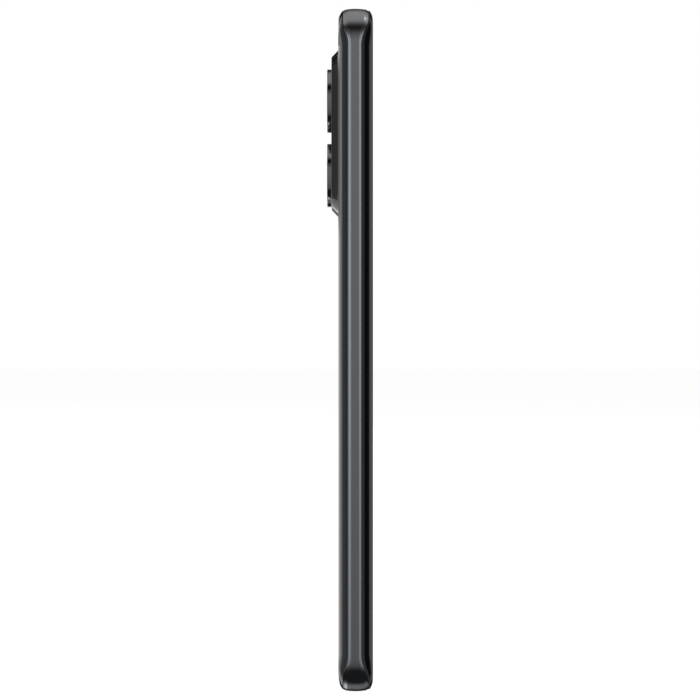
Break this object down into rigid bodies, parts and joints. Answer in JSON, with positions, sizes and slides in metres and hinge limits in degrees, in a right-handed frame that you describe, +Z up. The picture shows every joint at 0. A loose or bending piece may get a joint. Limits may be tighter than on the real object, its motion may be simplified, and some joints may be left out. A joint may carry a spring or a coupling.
{
  "type": "smartphone",
  "caption": "Slim upright smartphone with curved glass front and back, narrow metal side strip, sloped camera island with raised lens rings, side keys and a card tray.",
  "frame": {"origin": "middle of the bottom edge, at the centre of the port's mouth, half way through the body's depth", "axes": "+Z up towards the phone's top edge, -Y out of the display, +Y out of the back with the camera island, +X towards the side that carries the keys"},
  "size_m": [0.0734, 0.0112, 0.16],
  "materials": {
    "cover_glass": "polished dark glass, hard coated",
    "back_glass": "polished graphite glass",
    "frame_metal": "satin graphite anodised",
    "dark_plastic": "fine matt",
    "panel": "dark display panel",
    "break_plastic": "matt, coloured like the frame",
    "magnesium": "cast, blasted",
    "ring_metal": "black, polished",
    "lens_glass": "clear, coated",
    "flash_plastic": "frosted",
    "steel": "plain",
    "board_green": "solder mask",
    "copper": "enamelled winding",
    "flex_amber": "polyimide",
    "cell_wrap": "foil pouch",
    "rubber_black": "soft"
  },
  "bodies": {
    "phone": {"front_glass": "cover_glass", "display_bezel": "dark_plastic", "oled_panel": "panel", "display_cushion": "dark_plastic", "fingerprint_sensor": "dark_plastic", "display_flex": "flex_amber", "frame_band": "frame_metal", "antenna_breaks": "break_plastic", "chassis_plate": "magnesium", "back_cover": "back_glass", "cover_adhesive": "rubber_black", "flash_lens": "flash_plastic", "sensor_window": "lens_glass", "lens_ring_upper": "ring_metal", "lens_ring_lower": "ring_metal", "lens_window_upper": "lens_glass", "lens_window_lower": "lens_glass", "main_camera_case": "steel", "wide_camera_case": "steel", "front_camera": "dark_plastic", "main_board": "board_green", "board_shields": "steel", "board_chips": "dark_plastic", "board_sockets": "dark_plastic", "upper_lid": "dark_plastic", "lower_lid": "dark_plastic", "sub_board": "board_green", "screws": "steel", "microphones": "steel", "battery": "cell_wrap", "battery_tape": "dark_plastic", "battery_board": "board_green", "charging_coil": "copper", "nfc_antenna": "copper", "main_flex": "flex_amber", "coax_cable": "dark_plastic", "key_switches": "steel", "key_bracket": "steel", "usb_c_shell": "steel", "usb_c_tongue": "dark_plastic", "sim_socket": "steel", "speaker_box": "dark_plastic", "speaker_magnet": "steel", "speaker_mesh": "steel", "earpiece_case": "dark_plastic", "haptic_case": "steel"},
    "power_key_body": {"power_key": "frame_metal"},
    "volume_key_body": {"volume_key": "frame_metal"},
    "tray": {"sim_tray": "frame_metal", "tray_gasket": "rubber_black"},
    "pusher": {"eject_pusher": "steel"},
    "lever": {"eject_lever": "steel"},
    "guide": {"ois_guide": "dark_plastic"},
    "carrier": {"ois_carrier": "dark_plastic"},
    "main_barrel": {"main_lens": "dark_plastic"},
    "wide_barrel": {"wide_lens": "dark_plastic"},
    "shaker": {"haptic_mass": "steel"},
    "speaker_cone": {"speaker_diaphragm": "dark_plastic"},
    "earpiece_cone": {"earpiece_diaphragm": "dark_plastic"}
  },
  "joints": [
    {"name": "power_press", "type": "slide", "parent": "phone", "child": "power_key_body", "axis": [-1, 0, 0], "range_m": [0, 0.0002], "stiffness_N_per_m": 1500},
    {"name": "volume_tilt", "type": "hinge", "parent": "phone", "child": "volume_key_body", "pos_m": [0.035, 0.00025, 0.116], "axis": [0, 1, 0], "range_deg": [-1.2, 1.2], "stiffness_Nm_per_rad": 0.15},
    {"name": "tray_slide", "type": "slide", "parent": "phone", "child": "tray", "axis": [0, 0, -1], "range_m": [0, 0.022]},
    {"name": "eject_push", "type": "slide", "parent": "phone", "child": "pusher", "axis": [0, 0, 1], "range_m": [0, 0.0003]},
    {"name": "eject_rock", "type": "hinge", "parent": "phone", "child": "lever", "pos_m": [-0.0186, 0, 0.02515], "axis": [0, 1, 0], "range_deg": [0, 5]},
    {"name": "ois_x", "type": "slide", "parent": "phone", "child": "guide", "axis": [1, 0, 0], "range_m": [-0.00012, 0.00012], "stiffness_N_per_m": 500},
    {"name": "ois_z", "type": "slide", "parent": "guide", "child": "carrier", "axis": [0, 0, 1], "range_m": [-0.00012, 0.00012], "stiffness_N_per_m": 500},
    {"name": "main_focus", "type": "slide", "parent": "carrier", "child": "main_barrel", "axis": [0, 1, 0], "range_m": [0, 0.0003], "stiffness_N_per_m": 300},
    {"name": "wide_focus", "type": "slide", "parent": "phone", "child": "wide_barrel", "axis": [0, 1, 0], "range_m": [0, 0.00025], "stiffness_N_per_m": 300},
    {"name": "haptic_shake", "type": "slide", "parent": "phone", "child": "shaker", "axis": [1, 0, 0], "range_m": [-0.0008, 0.0008], "stiffness_N_per_m": 800},
    {"name": "speaker_stroke", "type": "slide", "parent": "phone", "child": "speaker_cone", "axis": [0, 1, 0], "range_m": [-0.0003, 0.0003], "stiffness_N_per_m": 600},
    {"name": "earpiece_stroke", "type": "slide", "parent": "phone", "child": "earpiece_cone", "axis": [0, 1, 0], "range_m": [-0.00015, 0.00015], "stiffness_N_per_m": 200}
  ],
  "couplings": [
    {"joint": "eject_rock", "follows": "eject_push", "rad_per_m": 290}
  ]
}
